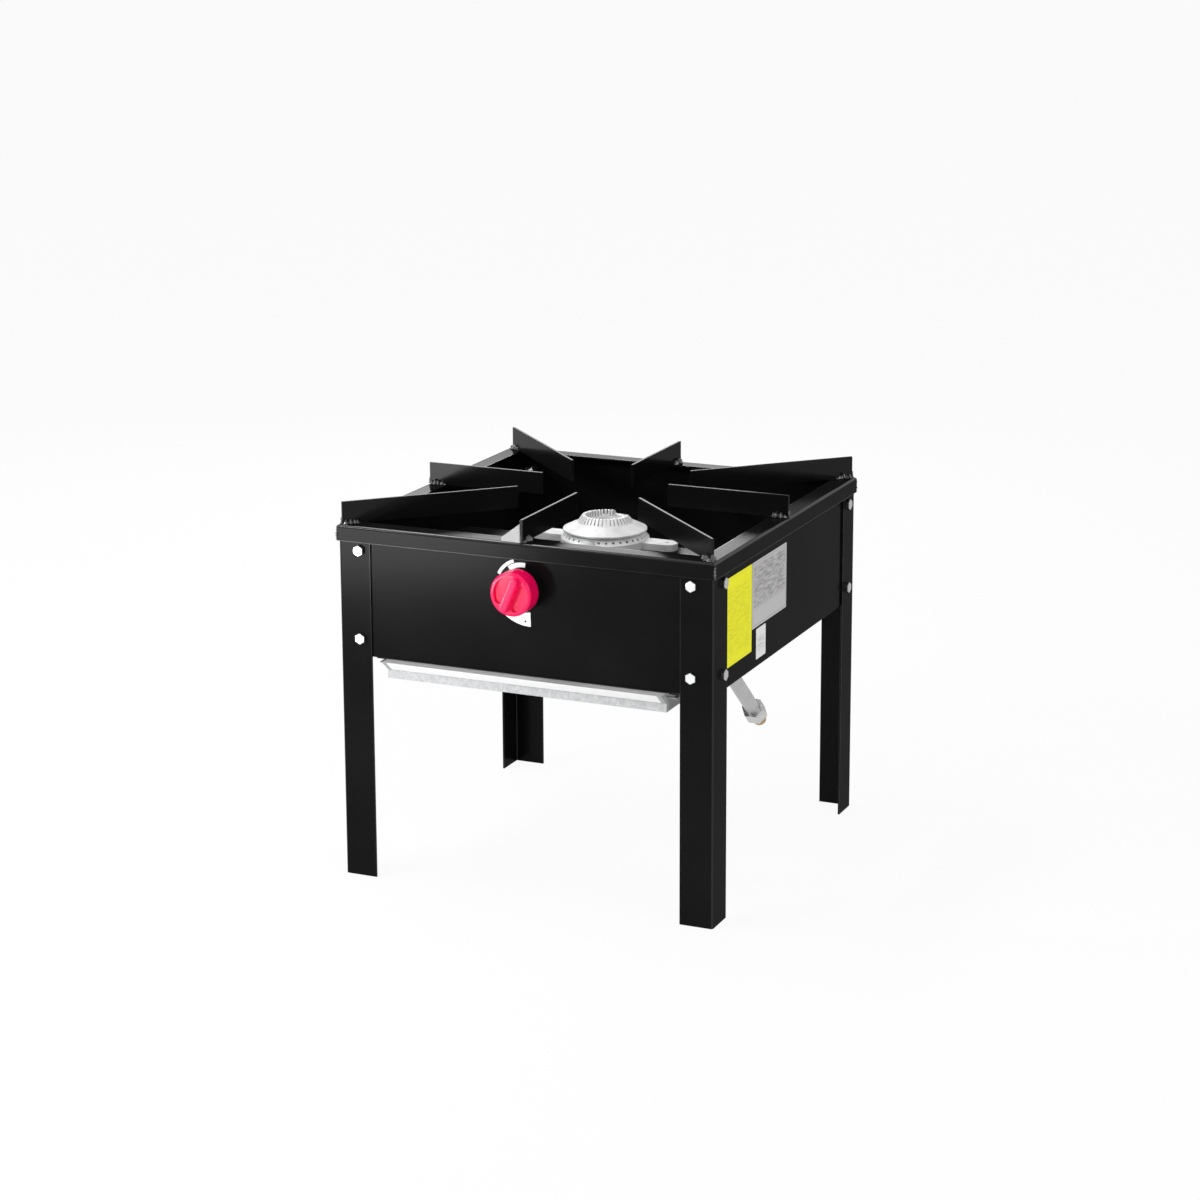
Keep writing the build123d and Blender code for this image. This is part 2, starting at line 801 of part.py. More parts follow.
# Air shutter: disc with the same windows, turned by its ear
shutter_rear_y = mouth_y - shutter_gap
with BuildPart() as air_shutter:
    with BuildSketch(gas_plane(shutter_rear_y)):
        Circle(mouth_radius)
        with Locations((0, mouth_radius)):
            Rectangle(shutter_ear, shutter_ear * 2)
        Circle(injector_hub + shutter_fit, mode=Mode.SUBTRACT)
        with PolarLocations(window_circle, window_count):
            Circle(window_radius, mode=Mode.SUBTRACT)
    extrude(amount=shutter_sheet)
finish(air_shutter, "air_shutter")

# Injector screwed into the valve, its nose carries the shutter and the mixer mouth
shoulder_y = shutter_rear_y - shutter_sheet - shutter_gap
hex_rear_y = valve_rear_y + injector_hex
nose_y = plate_rear_y + nose_reach
injector_core = injector_flats / 2 - injector_core_inset
with BuildPart() as injector:
    add(
        turned(
            (valve_rear_y - thread_depth, jet_bore),
            (valve_rear_y - thread_depth, injector_thread),
            (valve_rear_y, injector_thread),
            (valve_rear_y, injector_core),
            (hex_rear_y, injector_core),
            (hex_rear_y, injector_shoulder),
            (shoulder_y, injector_shoulder),
            (shoulder_y, injector_hub),
            (nose_y, injector_hub),
            (nose_y, injector_jet),
            (mouth_y, injector_jet),
            (mouth_y, jet_bore),
        )
    )
    with BuildSketch(gas_plane(valve_rear_y)):
        RegularPolygon(hexagon_radius(injector_flats), 6)
        Circle(jet_bore, mode=Mode.SUBTRACT)
    extrude(amount=-injector_hex)
finish(injector, "injector")

# Valve body with the inlet boss towards +X
with BuildPart() as valve_body:
    with BuildSketch(gas_plane(valve_front_y)):
        Circle(valve_radius)
    extrude(amount=valve_front_y - valve_rear_y)
    with BuildSketch(gas_plane(inlet_y - valve_radius)):
        Rectangle(valve_radius * 2, valve_radius * 2)
    extrude(amount=-valve_radius * 2)
    with BuildSketch(inlet_plane(0)):
        Circle(inlet_boss_radius)
    extrude(amount=inlet_reach)
    with BuildSketch(gas_plane(valve_front_y)):
        Circle(plug_radius + plug_clearance)
    extrude(amount=valve_front_y - plug_rear_y - plug_end_gap, mode=Mode.SUBTRACT)
    with BuildSketch(gas_plane(valve_front_y)):
        Circle(plug_port)
    extrude(amount=valve_front_y - valve_rear_y, mode=Mode.SUBTRACT)
    with BuildSketch(gas_plane(valve_rear_y)):
        Circle(injector_thread + thread_clearance)
    extrude(amount=thread_depth, mode=Mode.SUBTRACT)
    with BuildSketch(inlet_plane(0)):
        Circle(plug_port)
    extrude(amount=inlet_reach, mode=Mode.SUBTRACT)
finish(valve_body, "valve_body")

# Plug: a slot for the stem at the front, a port that turns to the inlet
with BuildPart() as valve_plug:
    with BuildSketch(gas_plane(plug_front_y)):
        Circle(plug_radius)
    extrude(amount=plug_front_y - plug_rear_y)
    with BuildSketch(gas_plane(plug_front_y)):
        Rectangle(tongue_width + tongue_clearance * 2, tongue_thickness + tongue_clearance * 2)
    extrude(amount=plug_front_y - plug_slot_rear_y, mode=Mode.SUBTRACT)
    with BuildSketch(gas_plane(plug_rear_y)):
        Circle(plug_port)
    extrude(amount=plug_rear_y - inlet_y, mode=Mode.SUBTRACT)
    with BuildSketch(inlet_plane(0)):
        Circle(plug_port)
    extrude(amount=-plug_radius * 2, mode=Mode.SUBTRACT)
finish(valve_plug, "valve_plug")

# Bonnet: plate on the back of the front panel and a sleeve to the valve
plate_back_y = -panel_inner + bonnet_plate
with BuildPart() as valve_bonnet:
    with BuildSketch(gas_plane(-panel_inner)):
        RectangleRounded(bonnet_width, bonnet_plate_height, bonnet_corner)
    extrude(amount=-bonnet_plate)
    with BuildSketch(gas_plane(plate_back_y)):
        Circle(bonnet_radius)
    extrude(amount=plate_back_y - valve_front_y)
    with BuildSketch(gas_plane(bonnet_wall_y)):
        Circle(bonnet_bore)
    extrude(amount=bonnet_wall_y - valve_front_y, mode=Mode.SUBTRACT)
    with BuildSketch(gas_plane(-panel_inner)):
        Circle(stem_radius + stem_fit)
        with Locations((-valve_screw_spread, 0), (valve_screw_spread, 0)):
            Circle(valve_screw_radius + thread_clearance)
    extrude(amount=-panel_inner - bonnet_wall_y, mode=Mode.SUBTRACT)
finish(valve_bonnet, "valve_bonnet")

with BuildPart() as valve_screws:
    with BuildSketch(gas_plane(-panel_face)):
        with Locations((-valve_screw_spread, 0), (valve_screw_spread, 0)):
            Circle(valve_screw_head)
    extrude(amount=valve_screw_head_height)
    fillet(valve_screws.faces().sort_by(Axis.Y)[:2].edges(), valve_screw_dome)
    with BuildSketch(gas_plane(-panel_face)):
        with Locations((-valve_screw_spread, 0), (valve_screw_spread, 0)):
            Circle(valve_screw_radius)
    extrude(amount=-valve_screw_length)
finish(valve_screws, "valve_screws")

# Stem: the knob turns it and pushes it in against a spring, its tongue turns the plug
with BuildPart() as valve_stem:
    add(
        turned(
            (stem_front_y, 0),
            (stem_front_y, stem_radius),
            (stem_collar_y, stem_radius),
            (stem_collar_y, stem_collar),
            (stem_neck_y, stem_collar),
            (stem_neck_y, stem_neck),
            (tongue_front_y, stem_neck),
            (tongue_front_y, 0),
        )
    )
    with BuildSketch(gas_plane(tongue_front_y)):
        Rectangle(tongue_width, tongue_thickness)
    extrude(amount=tongue_front_y - tongue_rear_y)
finish(valve_stem, "valve_stem")

spring_start_y = stem_neck_y + spring_wire + spring_end_gap
spring_end_y = plug_front_y - spring_wire - spring_end_gap
spring_length = spring_end_y - spring_start_y
with BuildPart() as stem_spring:
    with BuildLine() as spring_path:
        Helix(
            pitch=spring_length / spring_turns,
            height=spring_length,
            radius=spring_radius,
            center=(0, spring_start_y, gas_axis_height),
            direction=(0, 1, 0),
        )
    with BuildSketch(Plane(origin=spring_path.line @ 0, z_dir=spring_path.line % 0)):
        Circle(spring_wire)
    sweep(path=spring_path.line, is_frenet=True)
finish(stem_spring, "stem_spring")

# Knob: round body with a leaning grip between two scoops, hollow behind
grip_half = knob_radius - grip_inset
grip_side = (cos(radians(grip_lean)), 0, -sin(radians(grip_lean)))
grip_plane = Plane(origin=(0, knob_front_y, gas_axis_height), x_dir=grip_side, z_dir=(0, -1, 0))
with BuildPart() as knob:
    with BuildSketch(gas_plane(knob_back_y)):
        Circle(knob_radius)
    extrude(amount=knob_depth)
    fillet(knob.faces().sort_by(Axis.Y)[0].edges(), knob_edge)
    with BuildSketch(grip_plane):
        SlotOverall(grip_half * 2, grip_width, rotation=90)
    extrude(amount=grip_rise)
    fillet(knob.faces().sort_by(Axis.Y)[0].edges(), grip_edge)
    with BuildSketch(grip_plane) as scoops:
        Circle(knob_radius - knob_edge - scoop_rim)
        Rectangle(grip_width, knob_radius * 2, mode=Mode.SUBTRACT)
        fillet(scoops.vertices(), scoop_corner)
    extrude(amount=-scoop_depth, mode=Mode.SUBTRACT)
    with BuildSketch(gas_plane(knob_back_y)):
        Circle(knob_radius - knob_wall)
        Circle(knob_hub, mode=Mode.SUBTRACT)
    extrude(amount=knob_hollow, mode=Mode.SUBTRACT)
    with BuildSketch(gas_plane(knob_back_y)):
        Circle(stem_radius + knob_fit)
    extrude(amount=stem_grip + knob_bore_gap, mode=Mode.SUBTRACT)
finish(knob, "knob")

# White marks on the front panel round the knob
with BuildPart() as dial_marks:
    with BuildSketch(gas_plane(-panel_face)):
        for radius, width, start in (
            (outer_mark_radius, outer_mark_width, outer_mark_start),
            (inner_mark_radius, inner_mark_width, inner_mark_start),
        ):
            end = start + mark_sweep
            with BuildLine():
                CenterArc((0, 0), radius, start, mark_sweep)
                CenterArc((0, 0), radius - width, start, mark_sweep)
                Line(ring_point(radius, start), ring_point(radius - width, start))
                Line(ring_point(radius, end), ring_point(radius - width, end))
            make_face()
        with BuildLine():
            wedge_tip = ring_point(wedge_end_radius, wedge_end)
            wedge_side = ring_point(wedge_start_radius, wedge_start)
            ThreePointArc(wedge_side, ring_point(wedge_middle_radius, wedge_middle), wedge_tip)
            Polyline(wedge_tip, ring_point(wedge_inner_radius, wedge_inner), wedge_side)
        make_face()
        with Locations(ring_point(mark_dot_reach, mark_dot_angle)):
            Circle(mark_dot_radius, mode=Mode.SUBTRACT)
    extrude(amount=mark_sheet)
finish(dial_marks, "dial_marks")

# Supply tube from the valve to the right, down and back out under the right panel
with BuildPart() as supply_tube:
    with BuildLine() as tube_path:
        FilletPolyline(
            (inlet_reach, inlet_y, gas_axis_height),
            (tube_x, inlet_y, gas_axis_height),
            (tube_x, inlet_y, tube_bend_z),
            (tube_x, tube_end_y, tube_end_z),
            radius=tube_bend,
        )
    with BuildSketch(inlet_plane(inlet_reach)):
        Circle(tube_radius)
        Circle(tube_radius - tube_wall, mode=Mode.SUBTRACT)
    sweep(path=tube_path.line)
finish(supply_tube, "supply_tube")

with BuildPart() as tube_nut:
    with BuildSketch(inlet_plane(inlet_reach - tube_nut_grip)):
        RegularPolygon(hexagon_radius(tube_nut_flats), 6)
        Circle(tube_radius + tube_nut_fit, mode=Mode.SUBTRACT)
    extrude(amount=tube_nut_length)
    with BuildSketch(inlet_plane(inlet_reach - tube_nut_grip)):
        Circle(inlet_boss_radius + tube_nut_fit)
    extrude(amount=tube_nut_grip, mode=Mode.SUBTRACT)
finish(tube_nut, "tube_nut")

with BuildPart() as inlet_nut:
    with BuildSketch(outlet_plane.offset(inlet_nut_overlap)):
        RegularPolygon(hexagon_radius(inlet_nut_flats), 6)
        Circle(tube_radius + tube_nut_fit, mode=Mode.SUBTRACT)
    extrude(amount=-inlet_nut_length)
finish(inlet_nut, "inlet_nut")

with BuildPart() as inlet_fitting:
    with BuildSketch(outlet_plane):
        Circle(fitting_collar)
    extrude(amount=inlet_nut_overlap)
    with BuildSketch(outlet_plane):
        Circle(fitting_radius)
    extrude(amount=fitting_length)
    nose = inlet_fitting.faces().filter_by(GeomType.PLANE).sort_by(Axis.Z)[0]
    chamfer(nose.edges(), fitting_nose)
    with BuildSketch(outlet_plane):
        Circle(fitting_bore)
    extrude(amount=fitting_length, mode=Mode.SUBTRACT)
finish(inlet_fitting, "inlet_fitting")


# Blank stickers on the right panel
def make_sticker(inset, width, rise, height):
    with BuildPart() as sticker:
        with BuildSketch(face_plane(1, panel_face)):
            with Locations((-panel_face + inset + width / 2, panel_bottom + rise + height / 2)):
                RectangleRounded(width, height, sticker_corner)
        extrude(amount=sticker_sheet)
    return sticker


for sticker_name, area in sticker_areas.items():
    finish(make_sticker(*area), sticker_name)
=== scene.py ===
import json
import math

import bmesh
import bpy
from mathutils import Matrix, Vector, noise


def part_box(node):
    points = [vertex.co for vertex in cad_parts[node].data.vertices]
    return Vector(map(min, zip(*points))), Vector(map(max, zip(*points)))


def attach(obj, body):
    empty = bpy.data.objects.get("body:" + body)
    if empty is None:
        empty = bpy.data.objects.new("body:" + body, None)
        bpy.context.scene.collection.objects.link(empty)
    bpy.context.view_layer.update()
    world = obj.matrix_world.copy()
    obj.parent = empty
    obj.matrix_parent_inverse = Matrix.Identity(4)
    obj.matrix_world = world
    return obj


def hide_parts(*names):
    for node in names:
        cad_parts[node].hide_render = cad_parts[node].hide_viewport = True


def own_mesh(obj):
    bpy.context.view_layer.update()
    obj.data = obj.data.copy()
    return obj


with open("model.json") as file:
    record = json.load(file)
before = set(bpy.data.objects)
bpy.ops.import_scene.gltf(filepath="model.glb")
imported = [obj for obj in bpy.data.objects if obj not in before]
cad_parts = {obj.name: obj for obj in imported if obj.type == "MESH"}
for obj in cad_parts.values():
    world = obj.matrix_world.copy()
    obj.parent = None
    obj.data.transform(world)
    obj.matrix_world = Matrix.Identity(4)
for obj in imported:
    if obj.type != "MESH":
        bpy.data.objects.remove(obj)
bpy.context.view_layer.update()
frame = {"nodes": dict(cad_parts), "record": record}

NODES = frame["nodes"]
UPWARD = Vector((0.0, 0.0, 1.0))
BACKWARD = Vector((0.0, 1.0, 0.0))

# Camera, solved from the photograph: place in metres and angles in radians
CAMERA_PLACE = (1.31397, -2.96848, 1.15317)
CAMERA_YAW = 0.41842
CAMERA_PITCH = 0.21789
CAMERA_ROLL = -0.0041
PICTURE_PX = 1200.0
FOCAL_PX = 2962.4
CENTRE_ROW_PX = 470.0
SENSOR_MM = 36.0
CLIP_NEAR, CLIP_FAR = 0.05, 60.0

# Where most of a noise texture's values lie
NOISE_LOW, NOISE_HIGH = 0.3, 0.7
BEVEL_SAMPLES = 6

# Tray lip: the strip painted bright as a painted highlight, in metres
LIP_DEPTH = 0.0145
LIP_SLOPE = Vector((0.0, -0.635, -0.773))
STRIP_HALF_LENGTH = 0.159
LIP_TOP_LIGHT = 0.45

# Weld beads at the feet of the grate bars, in metres
BAR_COUNT = 8
FOOT_BEAD_LENGTH, FOOT_BEAD_SIZE, FOOT_BEAD_INSET = 0.02, 0.0056, 0.0006
END_BEAD_SIZE, END_BEAD_SHARE = 0.0021, 0.6
TIP_BEAD_LENGTH, TIP_BEAD_SIZE, TIP_BEAD_INSET = 0.0085, 0.0019, 0.0002

# Ground weld up the rim's corners, in metres
MITRE_BEAD_SIZE, MITRE_INSET = 0.0014, 0.0009
MITRE_FOOT_GAP, MITRE_SHORTER = 0.0005, 0.004

# Return spring on the valve stem, in metres
WIRE_RADIUS = 0.0004
COIL_TURNS = 6.0
COIL_STEPS, WIRE_POINTS = 144, 8

# Surroundings
FLOOR_HALF_SIDE = 26.0
FLOOR_DROP = 0.0005
FLOOR_WHITENESS = 0.93
WORLD_STRENGTH = 0.42
MIDDLE = (0.0, 0.0, 0.3)

# Lamps: name, place, target, size in metres and power in watts
LAMPS = (
    ("key", (-2.1, -2.4, 2.1), MIDDLE, (0.9, 0.5), 46.0),
    ("left_card", (-0.86, -1.35, 0.16), (-0.14, -0.2, 0.3), (0.6, 0.3), 10.0),
    ("left_side", (-2.4, -0.9, 0.6), (0.0, 0.0, 0.35), (0.3, 0.7), 18.0),
    ("back_left", (-1.12, 2.0, 1.0), (0.0, -0.1, 0.4), (1.0, 0.3), 9.0),
    ("fill", (2.6, -1.4, 1.5), MIDDLE, (1.8, 1.4), 28.0),
    ("top", (-1.05, 0.0, 2.4), MIDDLE, (1.4, 0.4), 26.0),
)


def make_camera():
    """Camera at the photograph's viewing angle, for a square picture."""
    sin_yaw, cos_yaw = math.sin(CAMERA_YAW), math.cos(CAMERA_YAW)
    sin_pitch, cos_pitch = math.sin(CAMERA_PITCH), math.cos(CAMERA_PITCH)
    forward = Vector((-sin_yaw * cos_pitch, cos_yaw * cos_pitch, -sin_pitch))
    level = Vector((cos_yaw, sin_yaw, 0.0))
    upward = level.cross(forward)
    right = level * math.cos(CAMERA_ROLL) + upward * math.sin(CAMERA_ROLL)
    up = upward * math.cos(CAMERA_ROLL) - level * math.sin(CAMERA_ROLL)
    data = bpy.data.cameras.new("photo_camera")
    data.sensor_fit = "HORIZONTAL"
    data.sensor_width = SENSOR_MM
    data.lens = FOCAL_PX / PICTURE_PX * SENSOR_MM
    data.shift_y = (CENTRE_ROW_PX - PICTURE_PX / 2) / PICTURE_PX
    data.clip_start = CLIP_NEAR
    data.clip_end = CLIP_FAR
    camera = bpy.data.objects.new("photo_camera", data)
    turn = Matrix((right, up, -forward)).transposed()
    camera.matrix_world = Matrix.Translation(CAMERA_PLACE) @ turn.to_4x4()
    bpy.context.scene.collection.objects.link(camera)
    bpy.context.scene.camera = camera


# Node helpers
class Graph:
    """Short calls for building a material's nodes."""

    def __init__(self, tree):
        self.tree = tree
        tree.nodes.clear()

    def node(self, kind, **settings):
        made = self.tree.nodes.new(kind)
        for key, value in settings.items():
            setattr(made, key, value)
        return made

    def link(self, source, target):
        self.tree.links.new(source, target)

    def put(self, node, name, value):
        """Sets or links one input of a node."""
        socket = node.inputs[name]
        if isinstance(value, bpy.types.NodeSocket):
            self.link(value, socket)
        else:
            socket.default_value = value

    def coords(self):
        return self.node("ShaderNodeTexCoord").outputs["Object"]

    def surface_normal(self):
        return self.node("ShaderNodeNewGeometry").outputs["Normal"]

    def axes(self, vector):
        """The X, Y and Z of a vector."""
        parts = self.node("ShaderNodeSeparateXYZ")
        self.link(vector, parts.inputs[0])
        return parts.outputs["X"], parts.outputs["Y"], parts.outputs["Z"]

    def stretched(self, scale):
        mapping = self.node("ShaderNodeMapping")
        self.put(mapping, "Vector", self.coords())
        self.put(mapping, "Scale", scale)
        return mapping.outputs["Vector"]

    def noise(self, scale, detail=3.0, roughness=0.55, vector=None):
        made = self.node("ShaderNodeTexNoise")
        self.put(made, "Vector", vector or self.coords())
        self.put(made, "Scale", scale)
        self.put(made, "Detail", detail)
        self.put(made, "Roughness", roughness)
        return made.outputs["Fac"]

    def remap(self, value, low, high, to_low=0.0, to_high=1.0):
        made = self.node("ShaderNodeMapRange")
        self.put(made, "Value", value)
        self.put(made, "From Min", low)
        self.put(made, "From Max", high)
        self.put(made, "To Min", to_low)
        self.put(made, "To Max", to_high)
        return made.outputs["Result"]

    def spread(self, value, to_low=0.0, to_high=1.0):
        """A noise texture's usual values spread over a range."""
        return self.remap(value, NOISE_LOW, NOISE_HIGH, to_low, to_high)

    def math(self, operation, first, second=0.0):
        made = self.node("ShaderNodeMath", operation=operation)
        self.put(made, 0, first)
        self.put(made, 1, second)
        return made.outputs[0]

    def times(self, first, second):
        return self.math("MULTIPLY", first, second)

    def most(self, first, second):
        return self.math("MAXIMUM", first, second)

    def least(self, first, second):
        return self.math("MINIMUM", first, second)

    def gap(self, first, second):
        """How far apart two values are."""
        return self.math("ABSOLUTE", self.math("SUBTRACT", first, second))

    def mix(self, factor, first, second):
        made = self.node("ShaderNodeMix", data_type="RGBA")
        self.put(made, 0, factor)
        self.put(made, 6, first)
        self.put(made, 7, second)
        return made.outputs[2]

    def rounded(self, radius):
        made = self.node("ShaderNodeBevel", samples=BEVEL_SAMPLES)
        self.put(made, "Radius", radius)
        return made.outputs["Normal"]

    def bump(self, height, distance, strength, normal):
        made = self.node("ShaderNodeBump")
        self.put(made, "Height", height)
        self.put(made, "Distance", distance)
        self.put(made, "Strength", strength)
        self.put(made, "Normal", normal)
        return made.outputs["Normal"]

    def along(self, first, second):
        """How far two directions agree: 1 when they are the same."""
        product = self.node("ShaderNodeVectorMath", operation="DOT_PRODUCT")
        self.put(product, 0, first)
        self.put(product, 1, second)
        return product.outputs["Value"]

    def facing(self, direction):
        """1 on faces that look along a direction of the frame."""
        return self.remap(self.along(self.surface_normal(), direction), 0.93, 0.99)

    def folds(self):
        """1 on rolled folds and other faces that aren't square to the frame."""
        x, y, z = (self.math("ABSOLUTE", part) for part in self.axes(self.surface_normal()))
        return self.remap(self.most(self.most(x, y), z), 0.985, 0.9)

    def edges(self, radius, low, high):
        """1 along sharp edges and 0 on open faces."""
        return self.remap(self.along(self.rounded(radius), self.surface_normal()), high, low)

    def shown(self):
        """1 for what the camera sees, directly or in metal or glass."""
        path = self.node("ShaderNodeLightPath")
        seen = self.most(path.outputs["Is Camera Ray"], path.outputs["Is Glossy Ray"])
        return self.most(seen, path.outputs["Is Transmission Ray"])

    def show_white(self, output, plain, white, share):
        """Light comes from the plain shader, and what the camera sees is the white one."""
        mixed = self.node("ShaderNodeMixShader")
        self.link(self.times(self.shown(), share), mixed.inputs["Fac"])
        self.link(plain.outputs[0], mixed.inputs[1])
        self.link(white.outputs[0], mixed.inputs[2])
        self.link(mixed.outputs[0], output.inputs["Surface"])


def set_inputs(shader, values):
    """Sets inputs that are the same all over the surface."""
    for name, value in values.items():
        shader.inputs[name].default_value = value


def colour(red, green, blue):
    return (red, green, blue, 1.0)


def grey(level):
    return colour(level, level, level)


def scaled(rgba, factor):
    return colour(*[min(1.0, part * factor) for part in rgba[:3]])


def new_material(name):
    material = bpy.data.materials.new(name)
    material.use_nodes = True
    graph = Graph(material.node_tree)
    shader = graph.node("ShaderNodeBsdfPrincipled")
    output = graph.node("ShaderNodeOutputMaterial")
    graph.link(shader.outputs[0], output.inputs["Surface"])
    return material, graph, shader


# Materials
def black_paint(name, fold_gloss, edge_gloss, flat_gloss, edge_radius):
    """Baked black enamel: orange peel, thin and thick places, brighter folds, rubbed edges."""
    material, graph, shader = new_material(name)
    base = colour(0.0048, 0.0048, 0.0051)
    dust_colour = colour(0.14, 0.138, 0.132)
    rubbed_colour = colour(0.045, 0.045, 0.046)

    cloud = graph.remap(graph.noise(5.0, detail=4.0), 0.35, 0.65)
    tint = graph.mix(cloud, scaled(base, 0.75), scaled(base, 1.35))
    specks = graph.noise(260.0, detail=5.0, roughness=0.7)
    dusty = graph.mix(graph.remap(specks, 0.68, 0.8, 0.0, 0.06), tint, dust_colour)
    rubbed = graph.edges(edge_radius, 0.74, 0.97)
    patchy = graph.remap(graph.noise(90.0), 0.42, 0.62, 0.1, 0.7)
    wear = graph.times(rubbed, patchy)
    graph.put(shader, "Base Color", graph.mix(wear, dusty, rubbed_colour))

    # Coat: least on upright faces, more on top faces, most on folds and edges
    top_gloss = flat_gloss * 1.5
    flats = graph.remap(graph.facing(UPWARD), 0.0, 1.0, flat_gloss, top_gloss)
    rolled = graph.times(graph.folds(), fold_gloss)
    edges = graph.times(rubbed, edge_gloss)
    graph.put(shader, "Coat Weight", graph.most(flats, graph.most(rolled, edges)))

    graph.put(shader, "Roughness", graph.spread(graph.noise(18.0, detail=4.0), 0.4, 0.5))
    peel = graph.noise(520.0, detail=2.0, roughness=0.5)
    waves = graph.noise(11.0, detail=2.0, roughness=0.4)
    soft = graph.bump(waves, 0.004, 0.16, graph.rounded(edge_radius * 0.9))
    graph.put(shader, "Normal", graph.bump(peel, 0.0002, 0.1, soft))
    set_inputs(shader, {"Specular IOR Level": 0.0, "Coat Roughness": 0.16})
    return material


def plated(name, base, rough_low, rough_high, mottle, shade_beyond=None):
    """Bright plated or rolled steel with a fine mottled lustre, and painted shade beyond a place
    in X.
    """
    material, graph, shader = new_material(name)
    patches = graph.spread(graph.noise(mottle, detail=4.0, roughness=0.6))
    tint = graph.mix(patches, scaled(base, 0.86), scaled(base, 1.08))
    stains = graph.noise(mottle * 3.0, detail=5.0, roughness=0.7)
    tint = graph.mix(graph.remap(stains, 0.62, 0.8, 0.0, 0.4), tint, scaled(base, 0.55))
    if shade_beyond is not None:
        # Painted shade: parts beyond this place in X, on the shaded right side, are darkened
        x, _, _ = graph.axes(graph.coords())
        painted_shade = graph.remap(x, shade_beyond, shade_beyond + 0.003, 0.0, 0.75)
        tint = graph.mix(painted_shade, tint, scaled(base, 0.3))
    graph.put(shader, "Base Color", tint)
    rough = graph.spread(graph.noise(mottle * 2.0), rough_low, rough_high)
    graph.put(shader, "Roughness", rough)
    grain = graph.noise(900.0)
    graph.put(shader, "Normal", graph.bump(grain, 0.0001, 0.25, graph.rounded(0.0004)))
    set_inputs(shader, {"Metallic": 1.0})
    return material


def galvanised():
    """Galvanised sheet: fine crystal patches, faint rolling lines, and a strip painted bright as
    a highlight.

    The painted highlight is on the sloping return of the tray's lip, and fainter on its top.
    """
    material, graph, shader = new_material("galvanised_sheet")
    dark_cell, pale_cell = colour(0.36, 0.365, 0.37), colour(0.46, 0.465, 0.47)
    lip_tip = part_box("drip_tray")[0][1]
    x, y, _ = graph.axes(graph.coords())
    from_tip = graph.math("SUBTRACT", y, lip_tip)
    on_lip = graph.remap(from_tip, LIP_DEPTH, LIP_DEPTH + 0.0003, 1.0, 0.0)
    from_middle = graph.math("ABSOLUTE", x)
    ends = graph.remap(from_middle, STRIP_HALF_LENGTH, STRIP_HALF_LENGTH + 0.001, 1.0, 0.0)
    sloping = graph.times(graph.facing(LIP_SLOPE), ends)
    # Painted highlight: the lip's sloping return and top are marked to be painted pale grey, as
    # if lit
    handled_and_lit = graph.times(graph.facing(UPWARD), LIP_TOP_LIGHT)
    painted_light = graph.times(graph.most(sloping, handled_and_lit), on_lip)

    cells = graph.node("ShaderNodeTexVoronoi", feature="F1")
    graph.put(cells, "Vector", graph.coords())
    graph.put(cells, "Scale", 330.0)
    level = graph.node("ShaderNodeSeparateColor")
    graph.link(cells.outputs["Color"], level.inputs[0])
    tone = graph.mix(level.outputs[0], dark_cell, pale_cell)
    stains = graph.noise(9.0, detail=5.0, roughness=0.65)
    stained = graph.mix(graph.remap(stains, 0.55, 0.8, 0.0, 0.25), tone, colour(0.33, 0.33, 0.32))
    # The marked lip strip is mixed towards pale grey: a painted highlight
    graph.put(shader, "Base Color", graph.mix(painted_light, stained, grey(0.9)))
    graph.put(shader, "Roughness", graph.remap(level.outputs[1], 0.0, 1.0, 0.4, 0.5))
    across = graph.stretched((1.0, 30.0, 30.0))
    lines = graph.noise(60.0, roughness=0.5, vector=across)
    graph.put(shader, "Normal", graph.bump(lines, 0.0002, 0.1, graph.rounded(0.0005)))
    set_inputs(shader, {"Metallic": 0.15, "Specular IOR Level": 0.2})
    return material


def cast_silver():
    """Aluminium paint over a rough casting."""
    material, graph, shader = new_material("silver_painted_casting")
    base = colour(0.68, 0.685, 0.68)
    speck_colour = colour(0.42, 0.42, 0.41)
    patches = graph.spread(graph.noise(45.0, detail=5.0, roughness=0.65))
    tint = graph.mix(patches, scaled(base, 0.84), scaled(base, 1.12))
    specks = graph.remap(graph.noise(700.0, detail=2.0, roughness=0.5), 0.6, 0.75, 0.0, 0.3)
    graph.put(shader, "Base Color", graph.mix(specks, tint, speck_colour))
    graph.put(shader, "Roughness", graph.spread(graph.noise(120.0), 0.42, 0.6))
    pits = graph.noise(620.0, detail=6.0, roughness=0.7)
    waves = graph.bump(graph.noise(80.0), 0.0012, 0.35, graph.rounded(0.0008))
    graph.put(shader, "Normal", graph.bump(pits, 0.0004, 0.4, waves))
    set_inputs(shader, {"Metallic": 0.45})
    return material


def brass():
    """Machined brass with turning marks and a light tarnish."""
    material, graph, shader = new_material("machined_brass")
    most_tarnish = 0.75
    clouds = graph.noise(110.0, detail=5.0, roughness=0.65)
    tarnish = graph.remap(clouds, 0.4, 0.72, 0.0, most_tarnish)
    tint = graph.mix(tarnish, colour(0.5, 0.32, 0.15), colour(0.22, 0.13, 0.07))
    graph.put(shader, "Base Color", tint)
    graph.put(shader, "Roughness", graph.remap(tarnish, 0.0, most_tarnish, 0.24, 0.48))
    along_tube = graph.stretched((1.0, 60.0, 1.0))
    marks = graph.noise(40.0, detail=2.0, roughness=0.5, vector=along_tube)
    graph.put(shader, "Normal", graph.bump(marks, 0.0002, 0.2, graph.rounded(0.0004)))
    set_inputs(shader, {"Metallic": 1.0})
    return material


